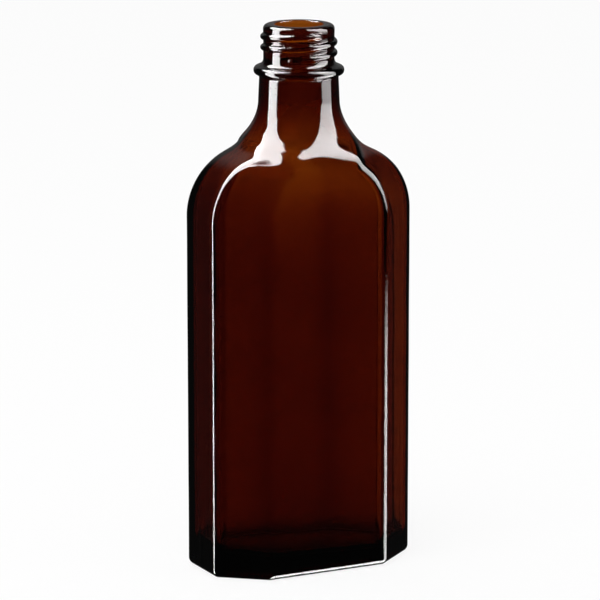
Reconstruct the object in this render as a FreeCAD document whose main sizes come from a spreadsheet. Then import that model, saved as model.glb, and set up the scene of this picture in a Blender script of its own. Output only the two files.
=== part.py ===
"""Flat medicine bottle: a blown amber glass flask with eight sides and a screw neck.

The plan is an octagon: two broad panels, two narrow sides and four bevels between them.
Seen from the front the outline is an arch, and the bevels follow that arch up to the neck.
The neck leaves the shoulder in a rolled fillet and ends in a ring bead and a screw thread.
The glass is one piece, hollow, with the wall thicker in the body than over the shoulder.

Origin: middle of the base, on the surface that the bottle stands on. X is the width,
Y the depth and Z the height. All sizes are in millimetres, and angles are in degrees.
"""
import FreeCAD, Part
import math
import os
import Sketcher
from FreeCAD import Placement, Rotation, Vector

# Driving sizes

SIZES = [
    ("total_height", 154.5, "height of the lip above the base"),
    ("neck_length", 34.0, "from the arch's flat top up to the lip"),
    ("body_width", 62.4, "across the two narrow sides"),
    ("body_depth", 37.4, "across the front and back panels"),
    ("bevel_across", 12.8, "how far each bevel cuts back along X"),
    ("bevel_back", 10.2, "how far each bevel cuts back along Y"),
    ("shoulder_radius", 19.2, "radius of the arch's two quarter rounds"),
    ("edge_radius", 2.5, "rounding of the long edges and of the arch"),
    ("heel_radius", 2.2, "rounding where the sides meet the base"),
    ("neck_low_radius", 12.0, "outside of the neck where it leaves the arch's top"),
    ("neck_high_radius", 11.15, "outside of the neck just under the bead"),
    ("neck_root_radius", 12.0, "rolled fillet between shoulder and neck"),
    ("finish_length", 14.5, "from the bead's lower edge up to the lip"),
    ("bead_radius", 12.75, "outside of the ring bead"),
    ("bead_thickness", 2.5, "height of the ring bead"),
    ("bead_undercut", 0.8, "rise of the bead's sloping underside"),
    ("bead_slope", 1.0, "rise of the bead's top towards the finish"),
    ("bead_round", 1.15, "rounding of the bead"),
    ("finish_radius", 10.0, "outside of the finish between the threads"),
    ("finish_root_radius", 1.9, "hollow fillet from the bead up into the finish"),
    ("lip_radius", 1.3, "outer rounding of the lip"),
    ("thread_start_depth", 8.65, "from the middle of the ridge's lower end up to the lip"),
    ("thread_start_angle", 255.0, "where the ridge begins, from +X towards +Y"),
    ("thread_pitch", 3.0, "rise of the ridge in one turn"),
    ("thread_turns", 2.05, "length of the ridge in turns"),
    ("thread_ridge_radius", 0.85, "the ridge is a round bar sunk half into the finish"),
    ("thread_end_radius", 0.77, "rounding of the ridge's two ends"),
    ("bore_radius", 6.85, "inside of the mouth"),
    ("bore_depth", 11.0, "straight length of the bore below the lip"),
    ("lip_inner_radius", 0.5, "inner rounding of the lip"),
    ("body_wall", 2.8, "glass in the panels, sides and bevels"),
    ("shoulder_wall", 1.9, "glass over the arch"),
    ("neck_wall", 2.9, "glass in the neck"),
    ("cavity_edge_radius", 4.0, "rounding of the cavity's long edges"),
    ("floor_thickness", 5.0, "height of the cavity's floor"),
    ("cavity_heel_radius", 3.6, "rounding round the cavity's floor"),
    ("foot_width", 4.4, "rim that the bottle stands on"),
    ("push_up", 1.6, "how far the base is pushed up inside the rim"),
    ("push_up_slope", 45.0, "lean of the step round the push-up"),
]


def make_sheet(doc):
    """Put every driving size in its own cell, under its own name."""
    sheet = doc.addObject("Spreadsheet::Sheet", "Sizes")
    for row, (name, value, note) in enumerate(SIZES, start=1):
        sheet.set(f"A{row}", name)
        sheet.set(f"B{row}", str(value))
        sheet.setAlias(f"B{row}", name)
        sheet.set(f"C{row}", note)
    doc.recompute()
    return sheet


def value_of(sheet, formula):
    """Number that a formula of the sheet's names gives now."""
    result = sheet.evalExpression(formula)
    return float(getattr(result, "Value", result))


def bind(target, settings):
    """Tie properties or named constraints of one object to formulas of the sheet."""
    for name, formula in settings.items():
        target.setExpression(name, formula)


# Sketches

def origin_plane(body, role):
    """One of the body's own base planes."""
    return next(item for item in body.Origin.OriginFeatures if item.Role == role)


def new_sketch(body, name, role, turn=0.0):
    """Empty sketch on a base plane, turned about the upright axis when asked."""
    sketch = body.newObject("Sketcher::SketchObject", name)
    sketch.AttachmentSupport = [(origin_plane(body, role), "")]
    sketch.MapMode = "FlatFace"
    sketch.AttachmentOffset = Placement(Vector(), Rotation(Vector(0, 1, 0), turn))
    return sketch


def name_constraint(sketch, constraint, name, formula):
    """Add a measured constraint and tie it to a formula."""
    index = sketch.addConstraint(constraint)
    sketch.renameConstraint(index, name)
    sketch.setExpression(f"Constraints.{name}", formula)


def corner_sketch(sheet, sketch, corners):
    """Closed outline of straight lines, with each corner's two distances as formulas."""
    points = [Vector(value_of(sheet, x), value_of(sheet, y), 0) for x, y in corners]
    first = sketch.GeometryCount
    count = len(points)
    lines = [Part.LineSegment(points[i], points[(i + 1) % count]) for i in range(count)]
    sketch.addGeometry(lines, False)
    for i in range(count):
        follower = first + (i + 1) % count
        sketch.addConstraint(Sketcher.Constraint("Coincident", first + i, 2, follower, 1))
    for i, (x_formula, y_formula) in enumerate(corners):
        across = Sketcher.Constraint("DistanceX", -1, 1, first + i, 1, points[i].x)
        name_constraint(sketch, across, f"across_{first + i}", x_formula)
        along = Sketcher.Constraint("DistanceY", -1, 1, first + i, 1, points[i].y)
        name_constraint(sketch, along, f"along_{first + i}", y_formula)
    return sketch


def arch_sketch(sheet, sketch, form):
    """Front outline: straight sides, two quarter rounds and a flat top under the neck."""
    half = value_of(sheet, form["half_width"])
    start = value_of(sheet, form["shoulder_start"])
    radius = value_of(sheet, form["shoulder_radius"])
    floor = value_of(sheet, form["floor"])
    middle = half - radius
    right = Part.Circle(Vector(middle, start, 0), Vector(0, 0, 1), radius)
    left = Part.Circle(Vector(-middle, start, 0), Vector(0, 0, 1), radius)
    sketch.addGeometry([
        Part.LineSegment(Vector(-half, floor, 0), Vector(half, floor, 0)),
        Part.LineSegment(Vector(half, floor, 0), Vector(half, start, 0)),
        Part.ArcOfCircle(right, 0, math.pi / 2),
        Part.LineSegment(Vector(middle, start + radius, 0), Vector(-middle, start + radius, 0)),
        Part.ArcOfCircle(left, math.pi / 2, math.pi),
        Part.LineSegment(Vector(-half, start, 0), Vector(-half, floor, 0)),
    ], False)
    base, right_side, right_round, top, left_round, left_side = range(6)
    sketch.addConstraint([
        Sketcher.Constraint("Coincident", base, 2, right_side, 1),
        Sketcher.Constraint("Tangent", right_side, 2, right_round, 1),
        Sketcher.Constraint("Tangent", right_round, 2, top, 1),
        Sketcher.Constraint("Tangent", top, 2, left_round, 1),
        Sketcher.Constraint("Tangent", left_round, 2, left_side, 1),
        Sketcher.Constraint("Coincident", left_side, 2, base, 1),
        Sketcher.Constraint("Vertical", right_side),
        Sketcher.Constraint("Horizontal", top),
        Sketcher.Constraint("Vertical", left_side),
        Sketcher.Constraint("Symmetric", base, 1, base, 2, -2),
        Sketcher.Constraint("Equal", right_round, left_round),
    ])
    width = Sketcher.Constraint("DistanceX", base, 1, base, 2, 2 * half)
    name_constraint(sketch, width, "width", f"2 * ({form['half_width']})")
    height = Sketcher.Constraint("DistanceY", -1, 1, right_side, 2, start)
    name_constraint(sketch, height, "shoulder_start", form["shoulder_start"])
    if floor > 0:
        lift = Sketcher.Constraint("DistanceY", -1, 1, base, 1, floor)
        name_constraint(sketch, lift, "floor", form["floor"])
    else:
        sketch.addConstraint(Sketcher.Constraint("PointOnObject", base, 1, -1))
    rounding = Sketcher.Constraint("Radius", right_round, radius)
    name_constraint(sketch, rounding, "shoulder_radius", form["shoulder_radius"])
    return sketch


# Edges, found by where they lie

SAME_PLACE = 0.01


def edge_names(shape, wanted):
    """Names of the edges for which the test holds."""
    return [f"Edge{i}" for i, edge in enumerate(shape.Edges, start=1) if wanted(edge)]


def round_edges(body, name, feature, wanted, radius_formula):
    """Rolled fillet on the edges of a feature that pass a test."""
    names = edge_names(feature.Shape, wanted)
    if not names:
        raise RuntimeError(f"{name}: no edge to round")
    fillet = body.newObject("PartDesign::Fillet", name)
    fillet.Base = (feature, names)
    bind(fillet, {"Radius": radius_formula})
    body.Document.recompute()
    return fillet


def rises(edge, at_least):
    """True for an edge that climbs, such as an upright edge or a side of the arch."""
    return edge.BoundBox.ZLength > at_least


def reaches(edge):
    """Greatest distance of the edge's ends from the upright axis."""
    return max(math.hypot(vertex.Point.x, vertex.Point.y) for vertex in edge.Vertexes)


def lies_at_depth(edge, depth):
    """True for an edge that lies in the plane of the front or back panel."""
    box = edge.BoundBox
    return box.YLength < SAME_PLACE and abs(abs(box.Center.y) - depth) < SAME_PLACE


def is_ring(edge, radius, height):
    """True for a circle about the upright axis with this radius and height."""
    box = edge.BoundBox
    level = box.ZLength < SAME_PLACE and abs(box.ZMin - height) < SAME_PLACE
    return level and abs(box.XMax - radius) < SAME_PLACE and abs(box.XMin + radius) < SAME_PLACE


# The blown form, used for the outside of the glass and again for its cavity

def pad_outline(sheet, body, form):
    """The arch, run far enough along Y for the bevels to meet outside the panels."""
    sketch = arch_sketch(sheet, new_sketch(body, "arch_outline", "XZ_Plane"), form)
    pad = body.newObject("PartDesign::Pad", "arch")
    pad.Profile = sketch
    pad.Midplane = True
    bind(pad, {"Length": f"2 * ({form['half_depth']}) + 2 * ({form['half_width']})"})
    body.Document.recompute()
    return pad


def cut_bevels(sheet, body, form):
    """Cut away all that lies outside the arch as it is seen along the bevels."""
    across, back = f"({form['bevel_across']})", f"({form['bevel_back']})"
    slanted = dict(form)
    slanted["half_width"] = (
        f"({form['half_width']}) - {across} + ({form['half_depth']}) * {across} / {back}")
    run, fall = value_of(sheet, across), value_of(sheet, back)
    reach, top = far_side(form)
    low = f"-{reach}"
    for name, direction in (("left_bevels", Vector(run, fall)), ("right_bevels", Vector(run, -fall))):
        sketch = arch_sketch(sheet, new_sketch(body, f"{name}_outline", "XZ_Plane"), slanted)
        corner_sketch(sheet, sketch, [(low, low), (reach, low), (reach, top), (low, top)])
        cut = body.newObject("PartDesign::Pocket", name)
        cut.Profile = sketch
        cut.UseCustomVector = True
        cut.Direction = direction
        cut.AlongSketchNormal = False
        cut.Midplane = True
        bind(cut, {"Length": f"4 * {reach}"})
        make_smaller(body, cut)


def far_side(form):
    """Formulas for a distance and a height that both lie outside the form."""
    reach = f"(4 * (({form['half_width']}) + ({form['half_depth']})))"
    top = f"(({form['shoulder_start']}) + 4 * ({form['shoulder_radius']}))"
    return reach, top


def make_smaller(body, cut):
    """Recompute, and make sure that a cut has taken something away."""
    body.Document.recompute()
    before = cut.BaseFeature.Shape.Volume
    if cut.Shape.Volume >= before:
        raise RuntimeError(f"{cut.Label} cuts nothing")


def add_turned(sheet, body, name, corners):
    """Solid turned about the upright axis from a half profile."""
    before = body.Tip.Shape.Volume
    sketch = corner_sketch(sheet, new_sketch(body, f"{name}_profile", "XZ_Plane"), corners)
    turned = body.newObject("PartDesign::Revolution", name)
    turned.Profile = sketch
    turned.ReferenceAxis = (sketch, ["V_Axis"])
    turned.Angle = 360
    body.Document.recompute()
    if turned.Shape.Volume <= before:
        raise RuntimeError(f"{name} adds nothing")
    return turned


def cut_panels(sheet, body, form):
    """Cut the form off flat at the front and at the back."""
    sketch = new_sketch(body, "panel_lines", "YZ_Plane")
    reach, top = far_side(form)
    low = f"-{reach}"
    for sign in ("", "-"):
        near, far = f"{sign}({form['half_depth']})", f"{sign}{reach}"
        corner_sketch(sheet, sketch, [(near, low), (far, low), (far, top), (near, top)])
    cut = body.newObject("PartDesign::Pocket", "panels")
    cut.Profile = sketch
    cut.Midplane = True
    bind(cut, {"Length": f"4 * {reach}"})
    make_smaller(body, cut)
    return cut


def blown_form(sheet, body, form, neck_corners):
    """Arch with bevels, neck, rolled fillets, flat panels and a rounded heel."""
    pad_outline(sheet, body, form)
    cut_bevels(sheet, body, form)
    neck = add_turned(sheet, body, "neck", neck_corners)
    start = value_of(sheet, form["shoulder_start"])
    floor = value_of(sheet, form["floor"])
    depth = value_of(sheet, form["half_depth"])
    crown = start + value_of(sheet, form["shoulder_radius"])
    neck_radius = value_of(sheet, form["neck_foot"])
    climb = value_of(sheet, form["shoulder_radius"]) / 4

    def below_crown(edge):
        return edge.BoundBox.ZMax < crown + SAME_PLACE

    def long_edge(edge):
        return below_crown(edge) and rises(edge, climb) and reaches(edge) > neck_radius + climb

    def neck_root(edge):
        on_neck = reaches(edge) < neck_radius and edge.BoundBox.ZMin > start + climb
        return on_neck and below_crown(edge) and not rises(edge, climb)

    def panel_outline(edge):
        return lies_at_depth(edge, depth) and edge.BoundBox.ZMax > floor + climb

    def heel(edge):
        return edge.BoundBox.ZMax < floor + SAME_PLACE

    edges = round_edges(body, "edge_rounding", neck, long_edge, form["edge_radius"])
    round_edges(body, "neck_root", edges, neck_root, form["neck_root_radius"])
    panels = cut_panels(sheet, body, form)
    outline = round_edges(body, "panel_rounding", panels, panel_outline, form["edge_radius"])
    return round_edges(body, "heel_rounding", outline, heel, form["heel_radius"])


# Outside of the glass

ARCH_TOP = "(Sizes.total_height - Sizes.neck_length)"
SHOULDER_START = f"{ARCH_TOP} - Sizes.shoulder_radius"
BEAD_BOTTOM = "(Sizes.total_height - Sizes.finish_length)"
BEAD_LOW = f"{BEAD_BOTTOM} + Sizes.bead_undercut"
BEAD_TOP = f"{BEAD_BOTTOM} + Sizes.bead_thickness"
FINISH_FOOT = f"{BEAD_TOP} + Sizes.bead_slope"
NECK_LEAN = (
    "((Sizes.neck_low_radius - Sizes.neck_high_radius)"
    " / (Sizes.neck_length - Sizes.finish_length))")

OUTSIDE = {
    "half_width": "Sizes.body_width / 2",
    "half_depth": "Sizes.body_depth / 2",
    "bevel_across": "Sizes.bevel_across",
    "bevel_back": "Sizes.bevel_back",
    "shoulder_start": SHOULDER_START,
    "shoulder_radius": "Sizes.shoulder_radius",
    "edge_radius": "Sizes.edge_radius",
    "floor": "0",
    "heel_radius": "Sizes.heel_radius",
    "neck_foot": f"Sizes.neck_low_radius + {NECK_LEAN} * Sizes.shoulder_radius",
    "neck_root_radius": "Sizes.neck_root_radius",
}

NECK_OUTSIDE = [
    ("0", SHOULDER_START),
    (OUTSIDE["neck_foot"], SHOULDER_START),
    ("Sizes.neck_high_radius", BEAD_BOTTOM),
    ("Sizes.bead_radius", BEAD_LOW),
    ("Sizes.bead_radius", BEAD_TOP),
    ("Sizes.finish_radius", FINISH_FOOT),
    ("Sizes.finish_radius", "Sizes.total_height"),
    ("0", "Sizes.total_height"),
]


def round_finish(sheet, body, feature):
    """Round the ring bead, the hollow above it and the lip."""
    bead = value_of(sheet, "Sizes.bead_radius")
    finish = value_of(sheet, "Sizes.finish_radius")
    bead_low = value_of(sheet, BEAD_LOW)
    bead_high = value_of(sheet, BEAD_TOP)
    foot = value_of(sheet, FINISH_FOOT)
    lip = value_of(sheet, "Sizes.total_height")

    def on_bead(edge):
        return is_ring(edge, bead, bead_low) or is_ring(edge, bead, bead_high)

    def under_finish(edge):
        return is_ring(edge, finish, foot)

    def on_lip(edge):
        return is_ring(edge, finish, lip)

    rounded = round_edges(body, "bead_rounding", feature, on_bead, "Sizes.bead_round")
    rounded = round_edges(body, "finish_root", rounded, under_finish, "Sizes.finish_root_radius")
    return round_edges(body, "lip_rounding", rounded, on_lip, "Sizes.lip_radius")


def shorter_leg(along, aside, inset):
    """Formula for one leg of a bevel when the whole octagon is drawn in by a distance."""
    slope = f"sqrt({along} * {along} + {aside} * {aside})"
    return f"({along} - {inset} * (1 - ({slope} - {along}) / {aside}))"


def push_up_base(sheet, body):
    """Raise the base inside an even rim, so that the bottle stands on the rim alone."""
    inset = "Sizes.foot_width"
    wide = f"(Sizes.body_width / 2 - {inset})"
    deep = f"(Sizes.body_depth / 2 - {inset})"
    panel_end = f"({wide} - {shorter_leg('Sizes.bevel_across', 'Sizes.bevel_back', inset)})"
    side_end = f"({deep} - {shorter_leg('Sizes.bevel_back', 'Sizes.bevel_across', inset)})"
    back = [(wide, side_end), (panel_end, deep), (f"-{panel_end}", deep), (f"-{wide}", side_end)]
    front = [(x, f"-{y}") for x, y in reversed(back)]
    sketch = corner_sketch(sheet, new_sketch(body, "push_up_outline", "XY_Plane"), back + front)
    cut = body.newObject("PartDesign::Pocket", "push_up")
    cut.Profile = sketch
    cut.Reversed = True
    bind(cut, {"Length": "Sizes.push_up", "TaperAngle": "-Sizes.push_up_slope"})
    make_smaller(body, cut)
    return cut


def make_thread(doc, sheet):
    """Right-handed ridge: a round bar, half sunk into the finish, with rounded ends."""
    start_height = "Sizes.total_height - Sizes.thread_start_depth"
    path = doc.addObject("Part::Helix", "thread_path")
    path.LocalCoord = "Right-handed"
    start = value_of(sheet, "Sizes.thread_start_angle")
    radius = value_of(sheet, "Sizes.finish_radius")
    path.Placement.Rotation = Rotation(Vector(0, 0, 1), start)
    bind(path, {
        "Radius": "Sizes.finish_radius",
        "Pitch": "Sizes.thread_pitch",
        "Height": "Sizes.thread_pitch * Sizes.thread_turns",
        "Placement.Base.z": start_height,
    })
    level = Rotation(Vector(0, 0, 1), start).multVec(Vector(0, 1, 0))
    rise = value_of(sheet, "Sizes.thread_pitch") / (2 * math.pi * radius)
    along = level + Vector(0, 0, rise)
    bar = doc.addObject("Part::Circle", "thread_bar")
    bar.Placement.Rotation = Rotation(Vector(0, 0, 1), along)
    bind(bar, {
        "Radius": "Sizes.thread_ridge_radius",
        "Placement.Base.x": "Sizes.finish_radius * cos(Sizes.thread_start_angle)",
        "Placement.Base.y": "Sizes.finish_radius * sin(Sizes.thread_start_angle)",
        "Placement.Base.z": start_height,
    })
    ridge = doc.addObject("Part::Sweep", "thread_ridge")
    ridge.Sections = [bar]
    ridge.Spine = (path, [])
    ridge.Solid = True
    ridge.Frenet = True
    doc.recompute()
    rounding = value_of(sheet, "Sizes.thread_end_radius")
    return round_solid(doc, "thread_ends", ridge, lambda edge: edge.Closed, rounding)


def round_solid(doc, name, base, wanted, radius):
    """Rolled fillet on the edges of a separate solid that pass a test."""
    numbers = [int(edge[len("Edge"):]) for edge in edge_names(base.Shape, wanted)]
    if not numbers:
        raise RuntimeError(f"{name}: no edge to round")
    rounded = doc.addObject("Part::Fillet", name)
    rounded.Base = base
    rounded.Edges = [(number, radius, radius) for number in numbers]
    doc.recompute()
    return rounded


# Cavity

CAVITY = {
    "half_width": "Sizes.body_width / 2 - Sizes.body_wall",
    "half_depth": "Sizes.body_depth / 2 - Sizes.body_wall",
    "bevel_across": shorter_leg("Sizes.bevel_across", "Sizes.bevel_back", "Sizes.body_wall"),
    "bevel_back": shorter_leg("Sizes.bevel_back", "Sizes.bevel_across", "Sizes.body_wall"),
    "shoulder_start": SHOULDER_START,
    "shoulder_radius": "Sizes.shoulder_radius - Sizes.shoulder_wall",
    "edge_radius": "Sizes.cavity_edge_radius",
    "floor": "Sizes.floor_thickness",
    "heel_radius": "Sizes.cavity_heel_radius",
    "neck_foot": OUTSIDE["neck_foot"] + " - Sizes.neck_wall",
    "neck_root_radius": "Sizes.neck_root_radius + Sizes.neck_wall",
}

NECK_CAVITY = [
    ("0", SHOULDER_START),
    (CAVITY["neck_foot"], SHOULDER_START),
    ("Sizes.neck_high_radius - Sizes.neck_wall", BEAD_BOTTOM),
    ("Sizes.bore_radius", "Sizes.total_height - Sizes.bore_depth"),
    ("Sizes.bore_radius", "Sizes.total_height + Sizes.lip_radius"),
    ("0", "Sizes.total_height + Sizes.lip_radius"),
]


def hollow_out(doc, sheet, outside, cavity):
    """Take the cavity out of the glass and round the inside of the lip."""
    hollow = doc.addObject("Part::Cut", "hollow")
    hollow.Base = outside
    hollow.Tool = cavity
    doc.recompute()
    bore = value_of(sheet, "Sizes.bore_radius")
    lip = value_of(sheet, "Sizes.total_height")
    rounding = value_of(sheet, "Sizes.lip_inner_radius")
    return round_solid(doc, "mouth_rounding", hollow, lambda edge: is_ring(edge, bore, lip), rounding)


def check_and_write(doc, parts):
    """Stop on any failed object or unsound solid, then write one file for each part."""
    for item in doc.Objects:
        if any(state in item.State for state in ("Invalid", "Error")):
            raise RuntimeError(f"{item.Label}: {item.State}")
    os.makedirs("parts", exist_ok=True)
    for part in parts:
        shape = part.Shape
        if shape.isNull() or not shape.isValid() or len(shape.Solids) != 1:
            raise RuntimeError(f"{part.Label} isn't one sound solid")
        shape.exportStep(f"parts/{part.Label}.step")
        print(part.Label, "volume", round(shape.Volume), "mm3, faces", len(shape.Faces))


def main():
    """Build the glass from its outside, its cavity and its thread, and write it out."""
    doc = FreeCAD.newDocument("flat_medicine_bottle")
    sheet = make_sheet(doc)
    outside = doc.addObject("PartDesign::Body", "outside")
    blown_form(sheet, outside, OUTSIDE, NECK_OUTSIDE)
    push_up_base(sheet, outside)
    round_finish(sheet, outside, outside.Tip)
    cavity = doc.addObject("PartDesign::Body", "cavity")
    blown_form(sheet, cavity, CAVITY, NECK_CAVITY)
    glass = hollow_out(doc, sheet, outside, cavity)
    bottle = doc.addObject("Part::Fuse", "bottle")
    bottle.Base = glass
    bottle.Tool = make_thread(doc, sheet)
    doc.recompute()
    print("holds", round(cavity.Shape.Volume / 1000, 1), "ml to the brim")
    check_and_write(doc, [bottle])


main()
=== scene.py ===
"""Looks of the flat medicine bottle: one blown piece of amber glass in a white studio.

The glass is rebuilt as one clean skin of quads: from the middle of the base round the foot,
up the outside, over the lip and down the inside to the floor. Each ring of the skin follows
the edges of the eight-sided body, so that a highlight runs along an edge without a step.
Sizes are in millimetres and angles in degrees until a mesh is made, which is in metres.
"""

import logging
import math
from collections.abc import Callable
from dataclasses import dataclass, replace
from enum import Enum

import bpy
import numpy as np
from bpy.types import ID, Material, Mesh, Node, NodeSocket, NodeTree, Object
from mathutils import Matrix, Vector


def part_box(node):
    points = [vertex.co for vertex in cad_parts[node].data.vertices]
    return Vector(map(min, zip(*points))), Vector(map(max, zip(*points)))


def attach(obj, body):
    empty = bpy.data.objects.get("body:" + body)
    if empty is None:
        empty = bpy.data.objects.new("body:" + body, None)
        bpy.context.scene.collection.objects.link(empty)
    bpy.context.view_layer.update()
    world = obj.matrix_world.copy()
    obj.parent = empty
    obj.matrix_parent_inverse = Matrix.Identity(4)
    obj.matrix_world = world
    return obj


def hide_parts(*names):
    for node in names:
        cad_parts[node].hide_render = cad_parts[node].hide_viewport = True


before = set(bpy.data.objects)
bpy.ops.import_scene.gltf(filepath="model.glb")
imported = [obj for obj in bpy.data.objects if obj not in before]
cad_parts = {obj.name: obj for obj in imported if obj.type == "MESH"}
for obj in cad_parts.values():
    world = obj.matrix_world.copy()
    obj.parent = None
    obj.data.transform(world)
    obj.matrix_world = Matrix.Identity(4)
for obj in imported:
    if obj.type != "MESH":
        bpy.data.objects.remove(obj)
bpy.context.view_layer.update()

logging.basicConfig(level=logging.INFO, format="%(message)s")
log = logging.getLogger("bottle")

MM = 0.001
BODY = "root"
NODE = "bottle"
FADE = "fade"
# What is divided by stays above this.
TINY = 1e-6
# Sines and cosines stop here, so that no slope or edge grows without end.
NEARLY_ONE = 0.98
# Turn in radians below which a profile counts as straight.
STRAIGHT_TURN = 0.02
# Degrees between the points of a rounding, and the fewest steps that it takes.
ARC_STEP = 12.0
ARC_LEAST = 4
Array = np.ndarray
Field = Callable[[Array], Array]
Links = dict[str | int, NodeSocket]


def linear(hex_colour: str) -> tuple[float, float, float, float]:
    """Turn an sRGB hex colour into linear numbers.

    Args:
        hex_colour: Colour as "#rrggbb".

    Returns:
        Linear red, green and blue, and full opacity.
    """
    parts = [int(hex_colour[i:i + 2], 16) / 255 for i in (1, 3, 5)]
    red, green, blue = (p / 12.92 if p <= 0.04045 else ((p + 0.055) / 1.055) ** 2.4 for p in parts)
    return red, green, blue, 1.0


WHITE = linear("#ffffff")


def add_node(tree: NodeTree, kind: str, settings: dict[str | int, object] | None = None,
             links: Links | None = None) -> Node:
    """Add one node with its settings and its incoming links.

    Args:
        tree: Node tree that takes the node.
        kind: Blender's name of the node type.
        settings: Input socket names or numbers, or property names, with their values.
        links: Input socket names or numbers with the output sockets that feed them.

    Returns:
        The new node.
    """
    node = tree.nodes.new(kind)
    for name, value in (settings or {}).items():
        if isinstance(name, int) or name in node.inputs:
            node.inputs[name].default_value = value
        else:
            setattr(node, name, value)
    for name, source in (links or {}).items():
        tree.links.new(source, node.inputs[name])
    return node


def blank_material(name: str) -> Material:
    """Make a material that has no nodes yet.

    Args:
        name: Name of the real material.

    Returns:
        The material.
    """
    material = bpy.data.materials.new(name)
    material.use_nodes = True
    material.node_tree.nodes.clear()
    return material


def add_object(name: str, data: ID) -> Object:
    """Make an object and add it to the scene.

    Args:
        name: Name of the object.
        data: Mesh, light or camera that it shows.

    Returns:
        The object.
    """
    thing = bpy.data.objects.new(name, data)
    bpy.context.scene.collection.objects.link(thing)
    return thing


class Ray(Enum):
    """Kinds of ray that the studio tells apart."""

    CAMERA = "Is Camera Ray"
    GLOSSY = "Is Glossy Ray"
    TRANSMISSION = "Is Transmission Ray"


def seen_by(tree: NodeTree, ray: Ray) -> NodeSocket:
    """Add a number that is one for a kind of ray and zero for the rest."""
    return add_node(tree, "ShaderNodeLightPath").outputs[ray.value]


@dataclass(frozen=True)
class Relief:
    """Soft uneven relief of a skin, in millimetres, drawn out along the height."""

    length: float
    height: float
    drawn_out: float = 1.0
    detail: float = 1.5
    roughness: float = 0.45

    def lay(self, tree: NodeTree, under: Links) -> Links:
        """Add the relief as one layer.

        Args:
            tree: Node tree to add to.
            under: Link from the layer below, empty where there is none.

        Returns:
            Link that gives a node the surface direction with the layer on it.
        """
        place = add_node(tree, "ShaderNodeTexCoord").outputs["Object"]
        drawn = add_node(tree, "ShaderNodeMapping", {"Scale": (1.0, 1.0, 1 / self.drawn_out)},
                         {"Vector": place})
        noise = add_node(tree, "ShaderNodeTexNoise", {
            "Scale": 1.0 / (self.length * MM), "Detail": self.detail,
            "Roughness": self.roughness}, {"Vector": drawn.outputs[0]})
        bump = add_node(tree, "ShaderNodeBump", {"Strength": 1.0, "Distance": self.height * MM},
                        {"Height": noise.outputs["Fac"], **under})
        return {"Normal": bump.outputs["Normal"]}


@dataclass(frozen=True)
class AmberGlass:
    """Amber soda-lime container glass, blown in a mould and fire polished.

    The eye gets a hard wet gloss from the skin, and a colour that comes only from depth:
    honey where the wall is thin, red-brown through two walls, near black along the edges.
    """

    name: str = "amber_soda_lime_glass"
    ior: float = 1.52
    roughness: float = 0.012
    tint: str = "#dfb900"
    absorbed_per_metre: float = 1750.0
    waves: Relief = Relief(16.0, 0.06, 2.5)
    # The grain of real pressed glass is about half as long. It is drawn coarser, because the
    # picture would lose a finer one.
    grain: Relief = Relief(1.3, 0.009)

    def make(self) -> Material:
        """Build the material.

        Returns:
            Glass whose skin is clear and uneven, and whose inside absorbs green and blue.
        """
        material = blank_material(self.name)
        tree = material.node_tree
        skin = add_node(tree, "ShaderNodeBsdfPrincipled", {
            "Base Color": WHITE, "Roughness": self.roughness, "IOR": self.ior,
            "Transmission Weight": 1.0}, self.grain.lay(tree, self.waves.lay(tree, {})))
        depth = add_node(tree, "ShaderNodeVolumeAbsorption", {
            "Color": linear(self.tint), "Density": self.absorbed_per_metre})
        add_node(tree, "ShaderNodeOutputMaterial", links={
            "Surface": skin.outputs[0], "Volume": depth.outputs[0]})
        return material


@dataclass(frozen=True)
class LitSilk:
    """White diffuser silk with a lamp behind it.

    The eye gets clean white shapes in the gloss of the glass, which fade at their rims.
    """

    glow: float
    name: str = "lit_white_silk"

    def make(self) -> Material:
        """Build the material.

        Returns:
            Clear material that glows by the attribute FADE.
        """
        material = blank_material(self.name)
        tree = material.node_tree
        fade = add_node(tree, "ShaderNodeAttribute", {"attribute_name": FADE})
        glow = add_node(tree, "ShaderNodeMath", {"operation": "MULTIPLY", 1: self.glow},
                        {0: fade.outputs["Fac"]})
        lit = add_node(tree, "ShaderNodeEmission", links={"Strength": glow.outputs[0]})
        clear = add_node(tree, "ShaderNodeBsdfTransparent")
        both = add_node(tree, "ShaderNodeAddShader",
                        links={0: lit.outputs[0], 1: clear.outputs[0]})
        add_node(tree, "ShaderNodeOutputMaterial", links={"Surface": both.outputs[0]})
        material.cycles.emission_sampling = "NONE"
        return material


@dataclass(frozen=True)
class MattPaper:
    """Matt white paper of the sweep, mostly burnt out to white in the picture.

    The eye gets an even white ground that keeps a faint shadow of the bottle.
    """

    name: str = "matt_white_paper"
    colour: str = "#f2f2f2"
    burnt_out: float = 0.85

    def make(self) -> Material:
        """Build the material.

        Returns:
            Paper that the camera sees as white for the greater part.
        """
        material = blank_material(self.name)
        tree = material.node_tree
        paper = add_node(tree, "ShaderNodeBsdfDiffuse", {"Color": linear(self.colour)})
        white = add_node(tree, "ShaderNodeEmission", {"Color": WHITE, "Strength": 1.0})
        share = add_node(tree, "ShaderNodeMath", {"operation": "MULTIPLY", 1: self.burnt_out},
                         {0: seen_by(tree, Ray.CAMERA)})
        mix = add_node(tree, "ShaderNodeMixShader", links={
            0: share.outputs[0], 1: paper.outputs[0], 2: white.outputs[0]})
        add_node(tree, "ShaderNodeOutputMaterial", links={"Surface": mix.outputs[0]})
        return material


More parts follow.
